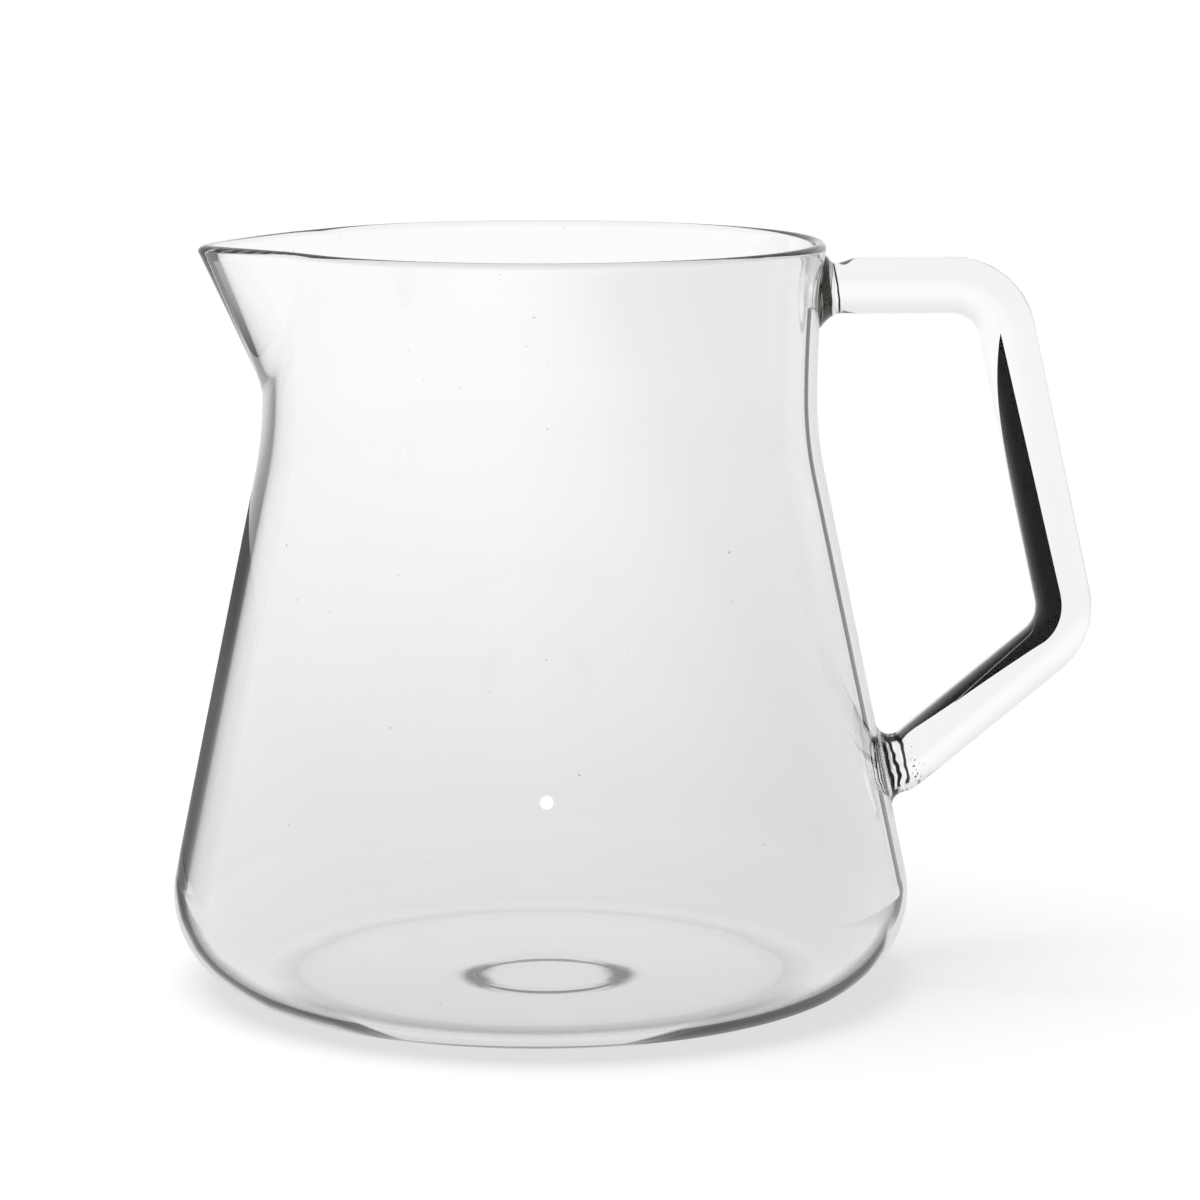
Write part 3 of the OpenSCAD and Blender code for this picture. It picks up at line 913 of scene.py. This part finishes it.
# The glass sees the sheet as a glow with painted shade, and not as lit
glow = tree.nodes.new("ShaderNodeEmission")
mix = tree.nodes.new("ShaderNodeMixShader")
tree.links.new(shader.outputs[0], mix.inputs[1])
tree.links.new(glow.outputs[0], mix.inputs[2])
tree.links.new(mix.outputs[0], tree.nodes["Material Output"].inputs["Surface"])
place = tree.nodes.new("ShaderNodeNewGeometry")
far = tree.nodes.new("ShaderNodeVectorMath")
far.operation = "LENGTH"
tree.links.new(place.outputs["Position"], far.inputs[0])
deep_tone, thin_tone, heel_tone = (along(tree, Field(tree, far.outputs["Value"]), stops)
    for stops in (DEEP_PAINTED_SHADE, THIN_PAINTED_SHADE, HEEL_PAINTED_SHADE))
mirrored = light_path(tree, "Glossy Depth").math("GREATER_THAN", NEVER)
deep = light_path(tree, "Transmission Depth").math("GREATER_THAN", TWICE)
deep_tone = deep_tone * along(tree, coordinates(tree, place.outputs["Position"])[0], SIDE_PAINTED_SHADE)
tone = (heel_tone - thin_tone) * mirrored + thin_tone
feed(tree, glow.inputs["Strength"], ((deep_tone - tone) * deep + tone) * kept_light(tree))
feed(tree, mix.inputs[0], bent_rays(tree))
floor.data.materials.append(material)
print("the sheet is", round(2 * FLOOR_HALF), "m wide")

# %% [markdown]
# The room is a bright backdrop all round. The camera sees it white too, and what the glass
# bends or mirrors of it gets a little greyer above the horizon.

# %% World
# The room's tone by height, from the horizon at 0 to straight above at 1
ROOM_TONES = [(0.0, 1.0), (0.12, 1.0), (0.4, 0.9), (0.75, 0.82), (1.0, 0.9)]
world = bpy.data.worlds.new("studio")
scene.world = world
world.use_nodes = True
tree = world.node_tree
background = tree.nodes["Background"]
direction = tree.nodes.new("ShaderNodeTexCoord")
room = along(tree, coordinates(tree, direction.outputs["Generated"])[2], ROOM_TONES)
strength = ((room - 1.0) * bent_rays(tree) + 1.0) * kept_light(tree)
feed(tree, background.inputs["Strength"], strength)
background.inputs["Color"].default_value = (1, 1, 1, 1)
print("the room's darkest tone:", min(tone for _, tone in ROOM_TONES))

# %% [markdown]
# ## Cards beside the glass
#
# Clear glass in a white room would vanish. A photographer stands dark cards just out of view,
# and the edges of the glass bend their darkness in. A ray that only passes the edge of the
# wall or the rod crosses the surface at most twice, so nearly all cards answer those rays alone.


# %% What a card does
def flag(name, corners, tone, rays, shade, glossy=False):
    """A dark card that answers only some rays: those that crossed one piece of glass ("thin"),
    and of these the ones that were mirrored ("mirrored") or were not ("clear"), or those that
    crossed two walls ("deep"). Shade gives the card's strength from the place on it. A glossy
    card also answers rays that come to it straight from a mirroring."""
    mesh = bpy.data.meshes.new(name)
    mesh.from_pydata(corners, [], [tuple(range(len(corners)))])
    card = link(bpy.data.objects.new(name, mesh))
    material = bpy.data.materials.new(name)
    material.use_nodes = True
    tree = material.node_tree
    tree.nodes.remove(tree.nodes["Principled BSDF"])
    dark = tree.nodes.new("ShaderNodeEmission")
    dark.inputs["Color"].default_value = (*tone, 1)
    clear = tree.nodes.new("ShaderNodeBsdfTransparent")
    mix = tree.nodes.new("ShaderNodeMixShader")
    crossed, turned_back = light_path(tree, "Transmission Depth"), light_path(tree, "Glossy Depth")
    answers = {
        "thin": crossed.math("LESS_THAN", TWICE),
        "mirrored": crossed.math("LESS_THAN", TWICE) * turned_back.math("GREATER_THAN", NEVER),
        "clear": crossed.math("LESS_THAN", TWICE) * turned_back.math("LESS_THAN", NEVER),
        "deep": crossed.math("GREATER_THAN", TWICE),
    }[rays]
    place = tree.nodes.new("ShaderNodeNewGeometry")
    x, y, z = coordinates(tree, place.outputs["Position"])
    feed(tree, mix.inputs[0], answers * shade(tree, x, y, z))
    tree.links.new(clear.outputs[0], mix.inputs[1])
    tree.links.new(dark.outputs[0], mix.inputs[2])
    tree.links.new(mix.outputs[0], tree.nodes["Material Output"].inputs["Surface"])
    card.data.materials.append(material)
    card.visible_camera = card.visible_diffuse = card.visible_shadow = False
    card.visible_glossy = glossy
    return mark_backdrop(card)


# %% How strong the left and right cards are
ARM_FADE = [(0.012, 0.2), (0.0195, 0.55), (0.028, 0.86), (0.045, 0.95), (0.06, 1.0)]
# The left card's strength by height, and across it from its inner and from its outer edge
LEFT_BY_HEIGHT = [(0.0, 0.93), (0.03, 0.94), (0.045, 1.0), (0.064, 1.0), (0.072, 0.85),
    (0.09, 0.9)]
LEFT_INNER_FADE = [(0.0, 0.0), (0.03, 0.5), (0.05, 0.85), (0.06, 0.98)]
LEFT_OUTER_FADE = [(0.105, 1.0), (0.125, 0.6), (0.15, 0.35), (0.2, 0.2)]
# Heights at which its edges turn, and the slope from there on: the inner edge at the neck, at
# the lip and downwards at the foot, and the outer edge
NECK_TURN, LIP_TURN, FOOT_TURN, OUTER_TURN = (0.058, 4.0), (0.073, 8.0), (-0.03, 1.2), (0.07, 3.0)
LEFT_INSET = 0.01


def even_shade(tree, x, y, z):
    return x * 0.0 + 1.0


def arm_shade(tree, x, y, z):
    """The foot of the right card fades towards the front, so the rod's outline stays light."""
    return along(tree, y, ARM_FADE)


def beyond(value, start, slope):
    """0 up to the start, and from there on it grows with the slope."""
    return (value - start).math("MAXIMUM", 0.0) * slope


def left_shade(tree, x, y, z):
    """The inner edge fades at the height that the neck mirrors, the outer edge everywhere."""
    left = x * -1.0
    inner = left - beyond(z, *NECK_TURN) + beyond(z, *LIP_TURN) - beyond(z * -1.0, *FOOT_TURN)
    return (along(tree, z, LEFT_BY_HEIGHT) * along(tree, inner + LEFT_INSET, LEFT_INNER_FADE)
        * along(tree, left - beyond(z, *OUTER_TURN), LEFT_OUTER_FADE))


# %% How strong the painted shade round the foot is
# Across a crescent, from its inner edge at 0 to its outer edge at 1: its strength, and how much
# of that shows in the outside of the glass
CRESCENT_TONES = [(0.0, 0.0), (0.12, 0.7), (0.3, 0.93), (0.8, 0.93), (1.0, 0.0)]
CRESCENT_OUTSIDE = [(0.0, 1.0), (1.0, 0.5)]
# Across the painted contact shadow, by the distance from the axis, and towards the front
CONTACT_TONES = [(0.0363, 0.0), (0.037, 0.4), (0.0377, 0.15), (0.0385, 0.3), (0.0395, 0.9),
    (0.0412, 0.9), (0.0424, 0.0)]
CONTACT_FRONT = [(0.012, 0.0), (0.026, 1.0)]


def crescent(tree, x, y, inner_stops, outer_stops, outside_stops):
    """A crescent of painted shade round the foot, which only the glass sees. Its inner and outer
    radius go with the direction from the axis, from the front at 0 to the back at 1, and its strength
    with the place between them. The outside of the glass mirrors only a share of it, which goes with
    the direction too."""
    direction = y.math("ARCTAN2", x) / math.pi + 0.5
    inner, outer = along(tree, direction, inner_stops), along(tree, direction, outer_stops)
    place = (from_axis(x, y) - inner) / (outer - inner)
    share = along(tree, direction, outside_stops) * along(tree, place, CRESCENT_OUTSIDE)
    outside = light_path(tree, "Transmission Depth").math("LESS_THAN", NEVER)
    return along(tree, place, CRESCENT_TONES) * (outside * (share - 1.0) + 1.0)


def left_heel_shade(tree, x, y, z):
    return crescent(tree, x * -1.0, y, LEFT_INNER, LEFT_OUTER, LEFT_OUTSIDE)


def right_heel_shade(tree, x, y, z):
    return crescent(tree, x, y, RIGHT_INNER, RIGHT_OUTER, RIGHT_OUTSIDE)


def contact_shade(tree, x, y, z):
    """The painted contact shadow where the front of the foot stands on the sheet."""
    return along(tree, from_axis(x, y), CONTACT_TONES) * along(tree, y * -1.0, CONTACT_FRONT)


# %% Where the cards stand
# Where the right card begins and ends, how high it is at both, and its foot on the floor
RIGHT_START, RIGHT_END = (0.0878, 0.08), (0.26, 0.03)
RIGHT_TOPS = (0.088, 0.08)
RIGHT_FOOT = ((0.0885, 0.078), RIGHT_END, (0.16, 0.0), (0.0665, 0.011))
RIGHT_EDGE = (0.0985, 0.0769)
LEFT_START, LEFT_END = (-0.04, 0.10), (-0.2, 0.10)
# The left card shows in the outside of the body, but not in the outside of the neck and spout above
LEFT_BREAK, LEFT_TOP = 0.058, 0.13
# Crescents of painted shade round the foot: inner and outer radii by direction, from the front at 0
# to the back at 1
LEFT_HEEL = ((0.0, -0.06), (0.0, -0.03), (-0.03, 0.0), (-0.045, 0.0998), (-0.16, 0.0998),
    (-0.1, -0.06))
LEFT_INNER = [(0.15, 0.0405), (0.23, 0.0435), (0.324, 0.0448), (0.444, 0.0503), (0.517, 0.0555),
    (0.636, 0.0715), (0.727, 0.096), (0.84, 0.106)]
LEFT_OUTER = [(0.15, 0.0425), (0.23, 0.05), (0.324, 0.052), (0.444, 0.06), (0.517, 0.072),
    (0.636, 0.108), (0.727, 0.16), (0.84, 0.2)]
RIGHT_HEEL = ((0.0, -0.06), (0.0, -0.03), (0.03, 0.0), (0.06, 0.08), (0.16, 0.08), (0.1, -0.06))
RIGHT_INNER = [(0.08, 0.0405), (0.174, 0.0405), (0.333, 0.0415), (0.444, 0.0485), (0.5, 0.0555),
    (0.606, 0.087), (0.74, 0.1185)]
RIGHT_OUTER = [(0.08, 0.0425), (0.174, 0.049), (0.333, 0.053), (0.444, 0.063), (0.5, 0.071),
    (0.606, 0.097), (0.74, 0.128)]
# How much of them shows in the outside of the glass, by the same directions
LEFT_OUTSIDE = [(0.35, 0.6), (0.5, 0.75), (0.65, 0.95)]
RIGHT_OUTSIDE = [(0.35, 0.8), (0.5, 0.7), (0.62, 0.0)]
CONTACT = ((-0.044, -0.012), (-0.044, -0.046), (0.044, -0.046), (0.044, -0.012))
# No two cards that overlap lie in one plane
LIFT = 0.0003
BLACK, SMOKE, SLATE = (0.0, 0.0, 0.0), (0.068, 0.07, 0.074), (0.09, 0.095, 0.105)


# %% Standing the cards
def raised(corners, height=LIFT):
    return [(*corner, height) for corner in corners]


def upright(start, end, bottom, start_top, end_top):
    """The corners of a card that stands on edge."""
    return raised((start, end), bottom) + raised((end,), end_top) + raised((start,), start_top)


cards = [
    flag("right flag", upright(RIGHT_START, RIGHT_END, LIFT, *RIGHT_TOPS),
        BLACK, "clear", even_shade),
    flag("right flag's foot", raised(RIGHT_FOOT, 2 * LIFT), BLACK, "thin", arm_shade),
    flag("right flag's edge", upright(RIGHT_START, RIGHT_EDGE, LIFT, RIGHT_TOPS[0], RIGHT_TOPS[0]),
        BLACK, "mirrored", even_shade),
    flag("left flag", upright(LEFT_START, LEFT_END, LIFT, LEFT_BREAK, LEFT_BREAK),
        SMOKE, "mirrored", left_shade, glossy=True),
    flag("left flag above", upright(LEFT_START, LEFT_END, LEFT_BREAK, LEFT_TOP, LEFT_TOP),
        SMOKE, "mirrored", left_shade),
    # The two crescents are painted shade on the sheet beside the heel, which only the glass sees
    flag("painted shade beside the left of the heel", raised(LEFT_HEEL),
        BLACK, "mirrored", left_heel_shade, glossy=True),
    flag("painted shade beside the right of the heel", raised(RIGHT_HEEL),
        BLACK, "mirrored", right_heel_shade, glossy=True),
    # A painted contact shadow under the front of the foot, which only the glass sees
    flag("painted contact shadow under the foot", raised(CONTACT, 3 * LIFT), SLATE, "deep", contact_shade),
]
print("cards:", len(cards))

# %% [markdown]
# ## Light and camera
#
# A large soft lamp stands overhead, a little to the left of the camera, so the shadow is faint
# and falls to the right. The sheet bounces its light as if no glass stood there, and only the
# lamp's shadow shows that one does.

# %% Lamp
LAMP_PLACE = (-0.28, -0.12, 1.2)
lamp = bpy.data.lights.new("overhead soft light", "SUN")
lamp.angle = math.radians(48)
lamp.energy = 1.32
lamp_object = link(bpy.data.objects.new("overhead soft light", lamp))
lamp_object.location = LAMP_PLACE
lamp_object.rotation_euler = (-lamp_object.location).to_track_quat("-Z", "Y").to_euler()
lamp_object.visible_glossy = lamp_object.visible_transmission = False
for piece in (vessel, handle):
    piece.visible_diffuse = False
print("the lamp's light comes from", LAMP_PLACE)

# %% [markdown]
# The camera stands where the fit to the photo puts it, with a long lens and a slight look down.

# %% Camera
CAMERA_OFFSET, CAMERA_DISTANCE, CAMERA_HEIGHT = 8.466 * MM, 612.769 * MM, 153.231 * MM
CAMERA_PITCH, CAMERA_TURN = 0.15930837, math.radians(-1.7)
FOCAL_PIXELS, IMAGE_PIXELS, SENSOR = 4363.203, 1200, 36.0
camera_data = bpy.data.cameras.new("camera")
camera_data.sensor_width = SENSOR
camera_data.lens = FOCAL_PIXELS / IMAGE_PIXELS * SENSOR
camera_data.clip_end = 60
camera = link(bpy.data.objects.new("camera", camera_data))
turn_cos, turn_sin = math.cos(CAMERA_TURN), math.sin(CAMERA_TURN)
camera.location = (CAMERA_OFFSET * turn_cos + CAMERA_DISTANCE * turn_sin,
    CAMERA_OFFSET * turn_sin - CAMERA_DISTANCE * turn_cos, CAMERA_HEIGHT)
camera.rotation_euler = (quarter - CAMERA_PITCH, 0, CAMERA_TURN)
scene.camera = camera
print("lens in mm:", round(camera_data.lens, 1))

# %% [markdown]
# Light crosses many faces of glass before it reaches the camera, so a ray may turn more often than
# usual.

# %% Picture settings
scene.view_settings.view_transform = "Standard"
scene.cycles.max_bounces = 32
scene.cycles.transmission_bounces = 24
scene.cycles.glossy_bounces = 16
